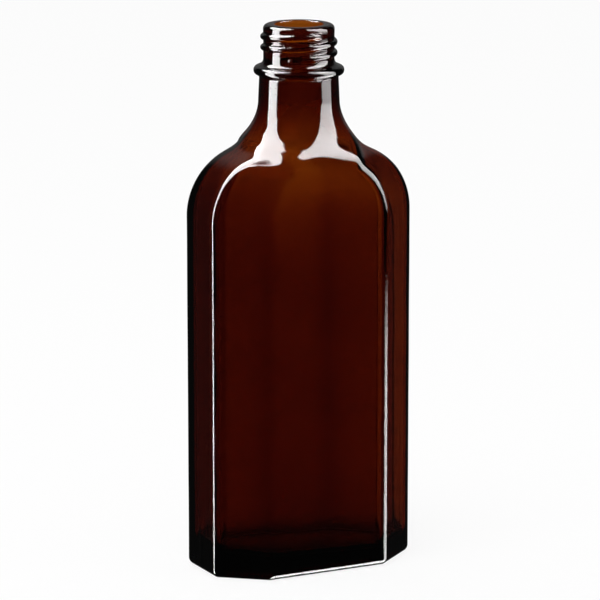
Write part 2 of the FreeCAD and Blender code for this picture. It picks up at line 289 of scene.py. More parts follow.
def rounded_corner(one: Array, other: Array, cosine: Array | float,
                   radius: Array | float) -> Array:
    """Meet two surfaces in an outer corner with a rolled edge.

    Args:
        one: Signed distance to the first surface, negative inside.
        other: Signed distance to the second surface.
        cosine: Cosine of the angle between the two outward directions.
        radius: Radius of the edge.

    Returns:
        Signed distance to the two together.
    """
    cosine = np.clip(cosine, 0.0, NEARLY_ONE)
    first, second = one + radius, other + radius
    on_edge = (first > second * cosine) & (second > first * cosine)
    spread = first ** 2 + second ** 2 - 2 * first * second * cosine
    edge = np.sqrt(np.maximum(spread, 0.0) / (1 - cosine ** 2))
    return np.where(on_edge, edge, np.maximum(first, second)) - radius


def ease(value: Array, start: float, end: float) -> Array:
    """Go smoothly from 0 at the start to 1 at the end."""
    share = np.clip((value - start) / (end - start), 0.0, 1.0)
    return share * share * (3 - 2 * share)


def shifted(rings: Array, outward: Array) -> Array:
    """Move points level and away from the upright axis.

    Args:
        rings: Points.
        outward: How far each point moves.

    Returns:
        Moved points.
    """
    moved = rings.copy()
    moved[..., :2] *= (1 + outward / np.hypot(rings[..., 0], rings[..., 1]))[..., None]
    return moved


def ring_faces(first: int, count: int, around: int) -> list[tuple[int, ...]]:
    """Join neighbouring closed rings with quads.

    Args:
        first: Number of the first point in the mesh.
        count: Number of rings.
        around: Points in each ring.

    Returns:
        Point numbers of each face.
    """
    faces: list[tuple[int, ...]] = []
    for row in range(first, first + (count - 1) * around, around):
        for column in range(around):
            here, beside = row + column, row + (column + 1) % around
            faces.append((here, beside, beside + around, here + around))
    return faces


def slope_of(shape: Field, at: Array) -> Array:
    """Outward direction of a field.

    Args:
        shape: Signed distance as a function of place.
        at: Places.

    Returns:
        Unit vectors.
    """
    step = 0.02
    rise = np.stack([shape(at + way) - shape(at - way) for way in step * np.eye(3)], axis=-1)
    return rise / np.maximum(np.linalg.norm(rise, axis=-1, keepdims=True), TINY)


def polar(radius: Array | float, angle: Array | float, z: Array | float) -> Array:
    """Places from distances to the upright axis, directions in radians and heights."""
    return np.stack([radius * np.cos(angle), radius * np.sin(angle), z], axis=-1)


@dataclass(frozen=True)
class Columns:
    """How the columns of a quarter are shared out, closest together along the edges."""

    on_side: int = 16
    on_bevel: int = 20
    on_panel: int = 28
    side_heading: float = 20.0
    panel_heading: float = 46.0
    seam_share: float = 0.035

    @property
    def in_quarter(self) -> int:
        """Number of spaces between columns in a quarter."""
        return self.on_side + self.on_bevel + self.on_panel

    def shares(self) -> tuple[Array, Array, Array]:
        """Set the columns along the half side, the bevel and the half panel.

        Returns:
            Shares of each length at which columns stand. The second one on the side is the
            foot of the mould's seam.
        """
        side = np.sin(np.arange(self.on_side) / self.on_side * math.pi / 2)
        side[1] = self.seam_share
        bevel = (1 - np.cos(np.arange(self.on_bevel) / self.on_bevel * math.pi)) / 2
        panel = 1 - np.cos(np.arange(self.on_panel + 1) / self.on_panel * math.pi / 2)
        return side, bevel, panel

    def round_headings(self) -> Array:
        """Set the columns round the neck.

        Returns:
            Directions in radians within the first quarter.
        """
        marks = [0, self.on_side, self.on_side + self.on_bevel, self.in_quarter]
        angles = [0.0, self.side_heading, self.panel_heading, 90.0]
        return np.radians(np.interp(np.arange(self.in_quarter + 1), marks, angles))


@dataclass
class BlownForm:
    """Eight-sided body with an arched shoulder that flows into the neck, for one skin.

    Only the quarter with x and y at or above zero is worked out. The rest is its mirror.
    """

    half_width: float
    half_depth: float
    shoulder_start: float
    neck_at_crown: float
    neck_lean: float
    floor: float = 0.0
    bevel_across: float = 12.8
    bevel_back: float = 10.2
    shoulder_radius: float = 19.2
    edge_radius: float = 2.5
    side_edge_radius: float = 1.8
    heel_radius: float = 2.2
    neck_root_radius: float = 12.0
    crown_edge_radius: float = 4.5
    crown_panel_radius: float = 3.0
    softness: float = 1.3
    front_drop: float = 4.5
    front_roll: float = 6.0
    # Share of the arch's height at which an edge has its full crown radius, and how late the
    # radius grows.
    rolled_by: float = 0.85
    rolling_power: float = 1.5
    # Headings between which a place comes to face the front.
    facing_front: tuple[float, float] = (30.0, 80.0)
    # Headings and rise over which the softening sets in, heights above the crown over which
    # it ends, and how many levels are averaged, over how many times the softness.
    soft_headings: tuple[float, float] = (15.0, 60.0)
    soft_rise: float = 11.0
    soft_end: tuple[float, float] = (6.0, 16.0)
    soft_levels: int = 9
    soft_reach: float = 2.0
    # Heights about the crown over which the columns turn from the edges to even spacing.
    evened: tuple[float, float] = (-5.0, 1.0)
    # The skin is searched for between this radius and this many times the corner's, and the
    # span is halved this often.
    nearest: float = 2.0
    farthest: float = 1.2
    halvings: int = 19

    @property
    def crown(self) -> float:
        """Height of the arch's flat top."""
        return self.shoulder_start + self.shoulder_radius

    @property
    def bevel_way(self) -> tuple[float, float]:
        """Outward direction of a bevel in plan."""
        length = math.hypot(self.bevel_across, self.bevel_back)
        return self.bevel_back / length, self.bevel_across / length

    def rolled(self, z: Array, on_body: float, at_crown: float) -> Array:
        """Radius of an edge at each height, softer over the shoulder."""
        rise = np.clip((z - self.shoulder_start) / (self.rolled_by * self.shoulder_radius), 0.0, 1.0)
        return on_body + (at_crown - on_body) * rise ** self.rolling_power

    def lean_angle(self, z: Array) -> Array:
        """Tangent of how far the arch leans back at each height."""
        sine = np.clip((z - self.shoulder_start) / self.shoulder_radius, 0.0, NEARLY_ONE)
        return sine / np.sqrt(1 - sine ** 2)

    def arch_reach(self, z: Array) -> Array:
        """Half width of the arch at each height, no less than its flat top."""
        rise = np.clip(z - self.shoulder_start, 0.0, self.shoulder_radius)
        return self.half_width - self.shoulder_radius + np.sqrt(self.shoulder_radius ** 2 - rise ** 2)

    def side(self, at: Array) -> Array:
        """Distance to the narrow side and the arch above it.

        Args:
            at: Places in the first quarter.

        Returns:
            Signed distances, negative inside.
        """
        x, rise = at[..., 0], at[..., 2] - self.shoulder_start
        past = np.maximum(x - self.half_width + self.shoulder_radius, 0.0)
        return np.where(rise <= 0, x - self.half_width,
                        np.hypot(past, rise) - self.shoulder_radius)

    def bevel(self, at: Array) -> Array:
        """Distance to the bevel and the part of the arch above it.

        Args:
            at: Places in the first quarter.

        Returns:
            Signed distances, negative inside.
        """
        x, y, z = np.moveaxis(at, -1, 0)
        across = x + self.bevel_across - (self.half_depth - y) * self.bevel_across / self.bevel_back
        square = self.bevel_way[0]
        flat = (across - self.half_width) * square
        rise = np.maximum(z - self.shoulder_start, 0.0)
        past = np.maximum(across - self.half_width + self.shoulder_radius, 0.0) * square
        wide, high = self.shoulder_radius * square, self.shoulder_radius
        ratio = np.maximum(np.hypot(past / wide, rise / high), TINY)
        steep = np.maximum(np.hypot(past / wide ** 2, rise / high ** 2), TINY)
        return np.where(z <= self.shoulder_start, flat, ratio * (ratio - 1) / steep)

    def shoulders(self, at: Array) -> Array:
        """Distance to sides, bevels and arch, with their edges rounded.

        Args:
            at: Places.

        Returns:
            Signed distances, negative inside.
        """
        at = np.abs(at)
        lean = self.lean_angle(at[..., 2])
        stretch = self.bevel_across / self.bevel_back
        cosine = np.sqrt(1 + lean ** 2) / np.sqrt(1 + stretch ** 2 + lean ** 2)
        edge = self.rolled(at[..., 2], self.side_edge_radius, self.crown_edge_radius)
        return rounded_corner(self.side(at), self.bevel(at), cosine, edge)

    def facing(self, at: Array) -> Array:
        """How much each place faces the front or back: 0 at the side, 1 on the panel."""
        return ease(np.degrees(np.arctan2(np.abs(at[..., 1]), np.abs(at[..., 0]))), *self.facing_front)

    def let_down(self, at: Array) -> Array:
        """Distance to the shoulders with the crown let down towards the panels."""
        crown = self.crown - self.front_drop * self.facing(at)
        return np.maximum(self.shoulders(at), at[..., 2] - crown)

    def with_neck(self, at: Array) -> Array:
        """Distance once the neck has grown out of the shoulder in a rolled fillet.

        Args:
            at: Places.

        Returns:
            Signed distances, negative inside.
        """
        x, y, z = np.moveaxis(at, -1, 0)
        radius = np.maximum(np.hypot(x, y), TINY)
        neck = radius - self.neck_at_crown + self.neck_lean * (z - self.crown)
        outward = slope_of(self.let_down, at)
        cosine = (outward[..., 0] * x + outward[..., 1] * y) / radius
        roll = self.neck_root_radius + self.front_roll * self.facing(at)
        return -rounded_corner(-self.let_down(at), -neck, cosine, roll)

    def whole(self, at: Array) -> Array:
        """Distance to the finished form, panels and heel included.

        Args:
            at: Places.

        Returns:
            Signed distances, negative inside.
        """
        cosine = slope_of(self.with_neck, at)[..., 1]
        edge = self.rolled(at[..., 2], self.edge_radius, self.crown_panel_radius)
        panels = np.abs(at[..., 1]) - self.half_depth
        flat = rounded_corner(self.with_neck(at), panels, cosine, edge)
        return rounded_corner(flat, self.floor - at[..., 2], 0.0, self.heel_radius)

    def reach(self, angle: Array, z: Array) -> Array:
        """Distance from the upright axis to the skin.

        Args:
            angle: Directions in radians.
            z: Heights.

        Returns:
            Radius in each direction.
        """
        low = np.full(angle.shape, self.nearest)
        corner = math.hypot(self.half_width, self.half_depth)
        high = np.full(angle.shape, self.farthest * corner)
        for _ in range(self.halvings):
            middle = (low + high) / 2
            outside = self.whole(polar(middle, angle, z)) > 0
            high = np.where(outside, middle, high)
            low = np.where(outside, low, middle)
        return (low + high) / 2

    def softened(self, angle: Array, z: Array) -> Array:
        """Distance to the skin, with the shoulder let down softly from neck to panel.

        Args:
            angle: Directions in radians.
            z: Heights.

        Returns:
            Radius in each direction.
        """
        radius = self.reach(angle, z)
        top = self.crown + self.soft_end[1]
        rows = (z[:, 0] > self.shoulder_start) & (z[:, 0] < top)
        turn, level = angle[rows], z[rows]
        rising = ease(level, self.shoulder_start, self.shoulder_start + self.soft_rise)
        rising *= 1 - ease(level, self.crown + self.soft_end[0], top)
        spread = self.softness * ease(np.degrees(turn), *self.soft_headings) * rising
        offsets = np.linspace(-self.soft_reach, self.soft_reach, self.soft_levels)
        reaches = [self.reach(turn, level + offset * spread) for offset in offsets]
        radius[rows] = np.average(reaches, axis=0, weights=np.exp(-offsets ** 2 / 2))
        return radius

    def headings(self, heights: Array, steps: Columns) -> Array:
        """Direction of each column at each height, so that columns follow the edges.

        Args:
            heights: Heights of the rings.
            steps: How the columns are shared out.

        Returns:
            Angles in radians within the first quarter, one row for each ring.
        """
        reach = self.arch_reach(heights)[:, None]
        edge_y = self.half_depth - self.bevel_back
        edge_x = np.maximum(reach - self.bevel_across, 0.0)
        side, bevel, panel = steps.shares()
        x = np.concatenate([reach + 0.0 * side, reach + (edge_x - reach) * bevel,
                            edge_x * (1 - panel)], axis=1)
        y = np.concatenate([edge_y * side, edge_y + self.bevel_back * bevel,
                            self.half_depth + 0.0 * panel])
        on_body = np.arctan2(y, x)
        on_neck = steps.round_headings()
        blend = ease(heights - self.crown, *self.evened)[:, None]
        return on_body * (1 - blend) + on_neck[None] * blend

    def slices(self, heights: Array, steps: Columns) -> Array:
        """Cut the form level at each height.

        Args:
            heights: Heights of the rings.
            steps: How the columns are shared out.

        Returns:
            Points of the first quarter: ring, column, place.
        """
        angle = self.headings(heights, steps)
        z = np.broadcast_to(heights[:, None], angle.shape)
        return polar(self.softened(angle, z), angle, z)


def mirror_quarter(quarter: Array) -> Array:
    """Complete rings from their first quarter.

    Args:
        quarter: Points with x and y at or above zero: ring, column, place.

    Returns:
        Closed rings, counter-clockwise from the +X side.
    """
    back_left = quarter[:, ::-1][:, 1:] * [-1, 1, 1]
    half = np.concatenate([quarter, back_left], axis=1)
    return np.concatenate([half, half[:, ::-1][:, 1:-1] * [1, -1, 1]], axis=1)


def round_profile(corners: list[tuple[float, float, float]], spacing: float) -> Array:
    """Round the corners of a half profile and set points along it.

    Args:
        corners: Radius, height and rounding of each corner, from start to end.
        spacing: Greatest distance between points.

    Returns:
        Radius and height of each point.
    """
    points = [np.array(corners[0][:2])]
    for before, here, after in zip(corners, corners[1:], corners[2:]):
        at = np.array(here[:2])
        arrive = at - np.array(before[:2])
        leave = np.array(after[:2]) - at
        arrive, leave = arrive / np.linalg.norm(arrive), leave / np.linalg.norm(leave)
        turn = math.acos(float(np.clip(arrive @ leave, -1, 1)))
        if here[2] <= 0 or turn < STRAIGHT_TURN:
            points.append(at)
            continue
        cut = here[2] * math.tan(turn / 2)
        start = at - arrive * cut
        inward = leave - arrive * (arrive @ leave)
        inward /= np.linalg.norm(inward)
        count = max(ARC_LEAST, math.ceil(math.degrees(turn) / ARC_STEP))
        for angle in np.linspace(0, turn, count + 1):
            points.append(start + here[2] * (math.sin(angle) * arrive
                                             + (1 - math.cos(angle)) * inward))
    points.append(np.array(corners[-1][:2]))
    filled = [points[0]]
    for start, end in zip(points, points[1:]):
        count = max(1, math.ceil(float(np.linalg.norm(end - start)) / spacing))
        filled += [start + (end - start) * i / count for i in range(1, count + 1)]
    return np.array(filled)


@dataclass
class ScrewThread:
    """Right-handed ridge on the finish, fading out at both ends. Angles are in degrees."""

    lip_height: float
    start_depth: float = 8.65
    start_angle: float = 255.0
    pitch: float = 3.0
    turns: float = 2.05
    height: float = 0.85
    half_breadth: float = 0.92
    # A power of a half makes the ridge a half ellipse, and more makes it slimmer.
    slimness: float = 0.62
    fade: float = 16.0

    def swell(self, angle: Array, z: Array) -> Array:
        """How far the ridge stands out at each point of the finish.

        Args:
            angle: Directions in degrees.
            z: Heights.

        Returns:
            Added radius.
        """
        raised = np.zeros(np.broadcast(angle, z).shape)
        for turn in range(math.ceil(self.turns) + 1):
            along = angle + 360.0 * turn - self.start_angle
            level = self.lip_height - self.start_depth + self.pitch * along / 360.0
            off = np.clip(np.abs(z - level) / self.half_breadth, 0.0, 1.0)
            from_end = np.minimum(along, 360.0 * self.turns - along)
            grown = np.clip(from_end / self.fade + 0.5, 0.0, 1.0)
            ridge = self.height * (1 - off ** 2) ** self.slimness * np.sqrt(1 - (1 - grown) ** 2)
            raised = np.maximum(raised, ridge)
        return raised


@dataclass(frozen=True)
class Blister:
    """Gas bubble so close under the skin of the finish that it lifts it."""

    heading: float = 229.7
    height: float = 145.4
    half_breadth: float = 0.75
    rise: float = 0.3
    steepness: float = 1.5

    def swell(self, angle: Array, z: Array, radius: float) -> Array:
        """How far the blister lifts each point of the finish.

        Args:
            angle: Directions in degrees.
            z: Heights.
            radius: Radius of the finish.

        Returns:
            Added radius.
        """
        along = np.radians(angle - self.heading) * radius
        off = np.clip(np.hypot(along, z - self.height) / self.half_breadth, 0.0, 1.0)
        return self.rise * (1 - off ** 2) ** self.steepness


@dataclass(frozen=True)
class Seed:
    """Small gas bubble caught in the glass."""

    heading: float
    height: float
    from_axis: float
    radius: float
    rings: int = 9
    around: int = 14
    # Radians from each tip to its flat end face.
    tip: float = 0.12

    def skin(self, first: int) -> tuple[Array, list[tuple[int, ...]]]:
        """Skin of the bubble, which faces its hollow middle.

        Args:
            first: Number of the bubble's first point in the mesh.

        Returns:
            Points in millimetres and faces.
        """
        heading = math.radians(self.heading)
        middle = polar(self.from_axis, heading, self.height)
        dip = np.linspace(self.tip, math.pi - self.tip, self.rings)[:, None]
        turn = np.arange(self.around) * 2 * math.pi / self.around
        way = polar(np.sin(dip), turn, np.cos(dip) + 0.0 * turn)
        points = (middle + self.radius * way).reshape(-1, 3)
        faces = ring_faces(first, self.rings, self.around)
        last = first + (self.rings - 1) * self.around
        faces.append(tuple(range(first + self.around - 1, first - 1, -1)))
        faces.append(tuple(range(last, last + self.around)))
        return points, faces


@dataclass(frozen=True)
class Ripple:
    """Slow waves that blowing leaves in a skin, which only ever pull it inwards.

    Rates are in radians for each millimetre along X, Y and Z. The first two waves cross.
    """

    size: float
    phase: float
    rates: tuple[tuple[float, float, float], ...] = (
        (0.21, 0.0, 0.07), (0.0, -0.16, 0.11), (0.13, 0.19, 0.23), (-0.33, 0.27, 0.41))
    phases: tuple[float, ...] = (1.0, 2.0, 3.0, 1.0)
    middling: float = 0.6
    fine: float = 0.3
    fade: float = 12.0

    def pull_in(self, rings: Array, top: float) -> Array:
        """Ripple a skin.

        Args:
            rings: Points of the skin.
            top: Height about which the waves fade out.

        Returns:
            Moved points.
        """
        waves = [np.sin(rings @ np.array(rate) + self.phase * multiple)
                 for rate, multiple in zip(self.rates, self.phases)]
        total = waves[0] * waves[1] + self.middling * waves[2] + self.fine * waves[3]
        share = (1 + total / (1 + self.middling + self.fine)) / 2
        fading = np.clip((top - rings[..., 2]) / self.fade + 0.5, 0.0, 1.0)
        return shifted(rings, -self.size * share * fading)


@dataclass(frozen=True)
class Rings:
    """How the rings of a skin are shared out, closest together where it curves."""

    body_step: float
    on_heel: int = 9
    heel_start: float = 14.0
    under_arch: float = 1.0
    on_arch: int = 30
    arch_span: tuple[float, float] = (-2.0, 56.0)
    on_crown: int = 30
    crown_share: float = 0.35
    on_neck: int = 12

    def levels(self, form: BlownForm) -> Array:
        """Heights at which a form is cut.

        Args:
            form: Outer or inner form.

        Returns:
            Rising heights, from just above the floor to the top of the neck's fillet.
        """
        heel = np.radians(np.linspace(self.heel_start, 90, self.on_heel))
        low = form.floor + form.heel_radius * (1 - np.cos(heel))
        body = np.arange(low[-1] + self.body_step, form.shoulder_start - self.under_arch,
                         self.body_step)
        arch = np.radians(np.linspace(*self.arch_span, self.on_arch))
        shoulder = form.shoulder_start + form.shoulder_radius * np.sin(arch)
        root = form.crown + form.neck_root_radius * self.crown_share
        crown = np.linspace(shoulder[-1], root, self.on_crown)[1:]
        neck = np.linspace(root, form.crown + form.neck_root_radius, self.on_neck)[1:]
        return np.concatenate([low, body, shoulder, crown, neck])


@dataclass
class Bottle:
    """The whole glass: body, shoulder, neck, ring bead, thread, lip and cavity."""

    width: float
    depth: float
    height: float
    neck_length: float = 34.0
    neck_low_radius: float = 12.0
    neck_high_radius: float = 11.15
    finish_length: float = 14.5
    bead_radius: float = 12.75
    bead_thickness: float = 2.5
    bead_undercut: float = 0.8
    bead_slope: float = 1.0
    bead_round: float = 1.15
    under_bead: float = 0.5
    finish_radius: float = 10.0
    finish_root: float = 1.9
    lip_radius: float = 1.3
    bore_radius: float = 6.85
    bore_depth: float = 11.0
    bore_round: float = 2.0
    lip_inner_radius: float = 0.35
    # Distance between rings on the neck and bead, the thread, and the lip and bore, and the
    # gap that joins the last two.
    bead_spacing: float = 0.45
    thread_spacing: float = 0.18
    bore_spacing: float = 0.7
    lip_gap: float = 0.05
    # Heights about the arch's flat top between which the skin is melted smooth.
    polish_passes: int = 18
    polish_rate: float = 0.6
    polish_from: tuple[float, float] = (-8.0, -2.0)
    polish_to: tuple[float, float] = (13.0, 8.0)
    body_wall: float = 2.3
    bevel_wall: float = 2.9
    # The cavity sits a little to the right, and the wall is thicker at its rear right bevel,
    # between these headings. Both fade out upwards, towards the arch's flat top.
    cavity_shift: float = 0.7
    shift_fade: float = 15.0
    thick_bevel: float = 0.7
    thick_from: tuple[float, float] = (6.0, 18.0)
    thick_to: tuple[float, float] = (56.0, 44.0)
    thick_below: float = 8.0
    thick_fade: float = 20.0
    shoulder_wall: float = 1.6
    neck_wall: float = 3.5
    cavity_edge_radius: float = 5.0
    floor_thickness: float = 4.8
    floor_shares: tuple[float, ...] = (0.93, 0.82, 0.66, 0.48, 0.3, 0.12)
    floor_dome: float = 0.5
    # The floor is lower at one end. Its tilt is gone at the first height and full at the other.
    floor_tilt: float = 1.3
    tilted: tuple[float, float] = (26.0, 10.0)
    cavity_heel_radius: float = 4.8
    foot_width: float = 4.4
    push_up: float = 1.6
    foot_insets: tuple[float, ...] = (
        2.6, 3.4, 4.1, 4.4, 4.6, 5.0, 5.4, 5.8, 6.2, 6.9, 8.5, 10.5)
    base_shares: tuple[float, ...] = (0.75, 0.5, 0.28, 0.1)
    seam_height: float = 0.05
    # The seam rises over the first height from the base, and ends between two below the lip.
    seam_foot: float = 3.0
    seam_end: tuple[float, float] = (3.6, 1.6)
    panel_walls: tuple[tuple[float, float], ...] = (
        (5.0, 3.45), (22.0, 3.4), (50.0, 3.3), (80.0, 3.25), (94.0, 3.0), (104.0, 2.45),
        (110.0, 1.9), (120.0, 1.9))
    # How sharply the panels' extra wall ends at their edges.
    panel_power: int = 6
    outer_levels: Rings = Rings(3.0)
    inner_levels: Rings = Rings(4.0)
    outer_ripple: Ripple = Ripple(0.05, 0.4)
    inner_ripple: Ripple = Ripple(0.28, 1.9)
    blister: Blister = Blister()
    seeds: tuple[Seed, ...] = (
        Seed(259.0, 141.9, 12.2, 0.17), Seed(268.0, 141.6, 12.2, 0.14),
        Seed(270.5, 13.0, 17.2, 0.18), Seed(292.0, 9.0, 18.6, 0.2), Seed(337.0, 100.8, 29.2, 0.16),
        Seed(335.5, 62.0, 28.8, 0.15), Seed(334.0, 26.0, 28.4, 0.17), Seed(196.0, 70.0, 29.3, 0.18))
    columns: Columns = Columns()

    @property
    def arch_top(self) -> float:
        """Height of the arch's flat top on the outside."""
        return self.height - self.neck_length

    @property
    def bead_bottom(self) -> float:
        """Height of the ring bead's lower edge."""
        return self.height - self.finish_length

    @property
    def neck_lean(self) -> float:
        """How much the neck narrows for each millimetre of height."""
        return (self.neck_low_radius - self.neck_high_radius) / (self.bead_bottom - self.arch_top)

    def neck_radius(self, z: float) -> float:
        """Outside of the neck at a height below the bead."""
        return self.neck_high_radius + self.neck_lean * (self.bead_bottom - z)

    def outside(self) -> BlownForm:
        """Form of the outer skin."""
        return BlownForm(
            half_width=self.width / 2, half_depth=self.depth / 2,
            shoulder_start=self.arch_top - BlownForm.shoulder_radius,
            neck_at_crown=self.neck_low_radius, neck_lean=self.neck_lean)

    def inside(self) -> BlownForm:
        """Work out the form of the cavity, one wall inside the outer skin.

        Returns:
            The form, whose bevels run level with the outer ones.
        """
        outer = self.outside()
        across, back = outer.bevel_across, outer.bevel_back
        width, depth = outer.half_width - self.body_wall, outer.half_depth - self.body_wall
        line = (back * outer.half_width + across * (outer.half_depth - back)
                - self.bevel_wall * math.hypot(across, back))
        return replace(
            outer, half_width=width, half_depth=depth,
            bevel_across=width - (line - across * depth) / back,
            bevel_back=depth - (line - back * width) / across,
            shoulder_radius=outer.shoulder_radius - self.shoulder_wall,
            edge_radius=self.cavity_edge_radius, side_edge_radius=self.cavity_edge_radius,
            floor=self.floor_thickness, heel_radius=self.cavity_heel_radius,
            neck_at_crown=outer.neck_at_crown - self.neck_wall + self.neck_lean * self.shoulder_wall,
            neck_root_radius=outer.neck_root_radius + self.neck_wall)

    def turned(self, profile: Array) -> Array:
        """Rings about the upright axis from a half profile.

        Args:
            profile: Radius and height of each ring.

        Returns:
            Closed rings: ring, column, place.
        """
        angle = self.columns.round_headings()
        radius, z = (np.broadcast_to(row[:, None], (len(profile), len(angle)))
                     for row in profile.T)
        return mirror_quarter(polar(radius, angle, z))

    def finish_rings(self, outer_start: float, inner_end: float) -> Array:
        """Neck, bead, thread, lip and bore, from the outer fillet to the inner one.

        Args:
            outer_start: Height of the last ring of the outer shoulder.
            inner_end: Height of the last ring of the inner shoulder.

        Returns:
            Closed rings going up the outside and down the inside.
        """
        low = self.bead_bottom
        foot = low + self.bead_thickness + self.bead_slope
        screw_foot = foot + self.finish_root
        outer = round_profile([
            (self.neck_radius(outer_start), outer_start, 0.0),
            (self.neck_high_radius, low, self.under_bead),
            (self.bead_radius, low + self.bead_undercut, self.bead_round),
            (self.bead_radius, low + self.bead_thickness, self.bead_round),
            (self.finish_radius, foot, self.finish_root),
            (self.finish_radius, screw_foot, 0.0)], self.bead_spacing)[1:]
        threaded = np.arange(screw_foot, self.height - self.lip_radius, self.thread_spacing)[1:]
        screw = np.stack([np.full(len(threaded), self.finish_radius), threaded], axis=1)
        over = round_profile([
            (self.finish_radius, float(threaded[-1]) + self.lip_gap, 0.0),
            (self.finish_radius, self.height, self.lip_radius),
            (self.bore_radius, self.height, self.lip_inner_radius),
            (self.bore_radius, self.height - self.bore_depth, self.bore_round),
            (self.neck_high_radius - self.neck_wall, low, self.bore_round),
            (self.neck_radius(inner_end) - self.neck_wall, inner_end, 0.0)],
            self.bore_spacing)[:-1]
        skin = self.turned(np.concatenate([outer, screw]))
        angle = np.degrees(np.arctan2(skin[..., 1], skin[..., 0])) % 360.0
        raised = (ScrewThread(self.height).swell(angle, skin[..., 2])
                  + self.blister.swell(angle, skin[..., 2], self.finish_radius))
        return np.concatenate([self.raise_seam(shifted(skin, raised)), self.turned(over)])

    def foot_rings(self, heel: Array) -> Array:
        """Foot, step and pushed-up middle of the base, from the heel inwards.

        Args:
            heel: Lowest ring of the heel.

        Returns:
            Closed rings, from the heel to the middle.
        """
        start, half = heel[:, :2].max(axis=0), np.array([self.width, self.depth]) / 2
        rings = [heel * [*((half - inset) / start), 0.0]
                 + [0.0, 0.0, min(max(inset - self.foot_width, 0.0), self.push_up)]
                 for inset in self.foot_insets]
        return np.array(rings + [rings[-1] * [share, share, 1.0] for share in self.base_shares])

    def floor_rings(self, heel: Array) -> Array:
        """Slightly domed floor of the cavity, in rings from its heel to its middle."""
        return np.array([
            heel * [share, share, 0.0]
            + [0.0, 0.0, self.floor_thickness + self.floor_dome * (1 - share)]
            for share in self.floor_shares])

    def settle(self, rings: Array) -> Array:
        """Give the wall the unevenness of blown glass.

        The panels thin towards the shoulder, the whole cavity sits to one side, its rear
        right bevel is thicker, and its floor tilts.

        Args:
            rings: Points of the cavity.

        Returns:
            Moved points.
        """
        x, y, z = rings[..., 0], rings[..., 1], rings[..., 2]
        heights, walls = zip(*self.panel_walls)
        gain = self.body_wall - np.interp(z, heights, walls)
        on_panel = np.clip(np.abs(y) / (self.depth / 2 - self.body_wall), 0.0, 1.0)
        shift = self.cavity_shift * np.clip((self.arch_top - z) / self.shift_fade, 0, 1)
        heading = np.degrees(np.arctan2(y, x))
        thicker = self.thick_bevel * ease(heading, *self.thick_from) * ease(heading, *self.thick_to)
        thicker *= np.clip((self.arch_top - self.thick_below - z) / self.thick_fade, 0, 1)
        way_x, way_y = self.outside().bevel_way
        y_in = np.sign(y) * gain * on_panel ** self.panel_power
        sunk = self.floor_tilt * ease(z, *self.tilted) * x / (self.width / 2)
        return np.stack([x + shift - thicker * way_x, y + y_in - thicker * way_y, z - sunk], axis=-1)

    def fire_polish(self, rings: Array) -> Array:
        """Melt away the creases of the shoulder and the root of the neck.

        Args:
            rings: Points of a skin.

        Returns:
            Moved points.
        """
        above_arch = rings[..., 2:] - self.arch_top
        share = ease(above_arch, *self.polish_from) * ease(above_arch, *self.polish_to)
        polished = rings.copy()
        for _ in range(self.polish_passes):
            beside = (np.roll(polished, 1, axis=1) + np.roll(polished, -1, axis=1)) / 2
            above = polished.copy()
            above[1:-1] = (polished[2:] + polished[:-2]) / 2
            polished += share * self.polish_rate * ((beside + above) / 2 - polished)
        return polished

    def raise_seam(self, rings: Array) -> Array:
        """Leave the fine ridge of the mould's joint up both narrow sides.

        Args:
            rings: Points of the outer skin, which sinks by the height of the ridge.

        Returns:
            Moved points.
        """
        sunk = np.full(rings.shape[:2], self.seam_height)
        sunk[:, [0, rings.shape[1] // 2]] = 0.0
        z = rings[..., 2]
        end, lip = self.seam_end
        sunk *= ease(z, 0.0, self.seam_foot) * ease(z, self.height - lip, self.height - end)
        return shifted(rings, -sunk)

    def skin(self) -> Array:
        """Every ring of the glass, from the middle of the base to the middle of the floor.

        Returns:
            Points in millimetres: ring, column, place.
        """
        outer, inner = self.outside(), self.inside()
        outer_levels = self.outer_levels.levels(outer)
        inner_levels = self.inner_levels.levels(inner)
        outer_rings = mirror_quarter(outer.slices(outer_levels, self.columns))
        inner_rings = mirror_quarter(inner.slices(inner_levels, self.columns))
        floor = self.settle(self.floor_rings(inner_rings[0]))
        inner_rings = self.fire_polish(self.settle(inner_rings))
        inner_rings = self.inner_ripple.pull_in(inner_rings, self.arch_top)
        outer_rings = self.fire_polish(outer_rings)
        foot = self.foot_rings(outer_rings[0])
        outer_rings = self.outer_ripple.pull_in(outer_rings, self.arch_top)
        finish = self.finish_rings(float(outer_levels[-1]), float(inner_levels[-1]))
        return np.concatenate([foot[::-1], self.raise_seam(outer_rings), finish,
                               inner_rings[::-1], floor])

    def make_mesh(self) -> Mesh:
        """Skin the rings with quads and close both ends with a fan.

        Returns:
            Closed mesh in metres, smooth all over.
        """
        rings = self.skin()
        count, around = rings.shape[:2]
        points = np.concatenate([rings.reshape(-1, 3), rings[[0, -1]].mean(axis=1)])
        faces = ring_faces(0, count, around)
        first, last = count * around, count * around + 1
        top = (count - 1) * around
        for column in range(around):
            beside = (column + 1) % around
            faces.append((beside, column, first))
            faces.append((top + column, top + beside, last))
        for seed in self.seeds:
            bubble, hollow = seed.skin(len(points))
            points = np.concatenate([points, bubble])
            faces += hollow
        mesh = bpy.data.meshes.new("glass_skin")
        mesh.from_pydata((points * MM).tolist(), [], faces)
        mesh.polygons.foreach_set("use_smooth", [True] * len(mesh.polygons))
        mesh.update()
        return mesh

    def build(self) -> Object:
        """Make the glass, dress it and put it in place of the plain solid.

        Returns:
            The glass.
        """
        glass = add_object("glass_bottle", self.make_mesh())
        glass.data.materials.append(AmberGlass().make())
        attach(glass, BODY)
        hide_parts(NODE)
        return glass


